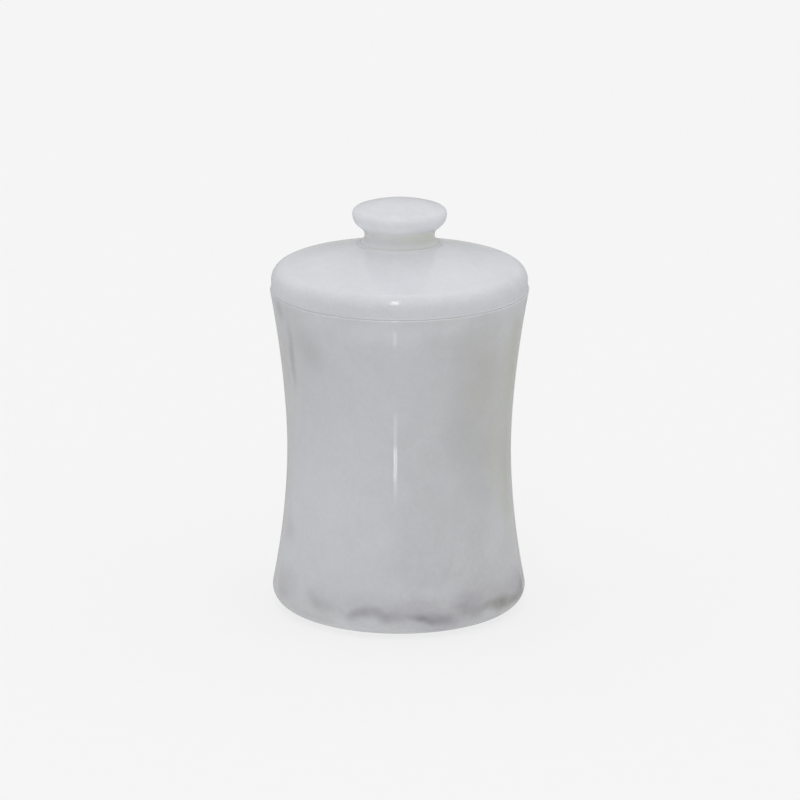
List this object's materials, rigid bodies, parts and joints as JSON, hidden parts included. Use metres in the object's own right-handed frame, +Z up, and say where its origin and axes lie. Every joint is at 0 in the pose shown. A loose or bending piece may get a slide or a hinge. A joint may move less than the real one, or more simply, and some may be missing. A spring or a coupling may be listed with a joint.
{
  "type": "powder jar",
  "caption": "Waisted round stone vanity jar with a straight bored well and a lift-off lid with a turned mushroom knob.",
  "frame": {"origin": "on the jar's axis, in the plane that the foot pads stand on", "axes": "+Z up along the turning axis; the jar is the same all round, and the pads lie on the diagonals of X and Y"},
  "size_m": [0.1, 0.1, 0.162],
  "materials": {
    "marble": "polished white marble, faint grey veins, slightly translucent",
    "dowel_steel": "ground stainless pin",
    "epoxy": "cured white stone epoxy",
    "clear_pad": "clear soft polyurethane bumper"
  },
  "bodies": {
    "jar": {"jar_body": "marble", "foot_pad_1": "clear_pad", "foot_pad_2": "clear_pad", "foot_pad_3": "clear_pad", "foot_pad_4": "clear_pad"},
    "lid": {"lid": "marble", "knob": "marble", "knob_dowel": "dowel_steel", "knob_adhesive": "epoxy"}
  },
  "joints": [
    {"name": "lid_lift", "type": "slide", "parent": "jar", "child": "lid", "axis": [0, 0, 1], "range_m": [0, 0.1]}
  ]
}
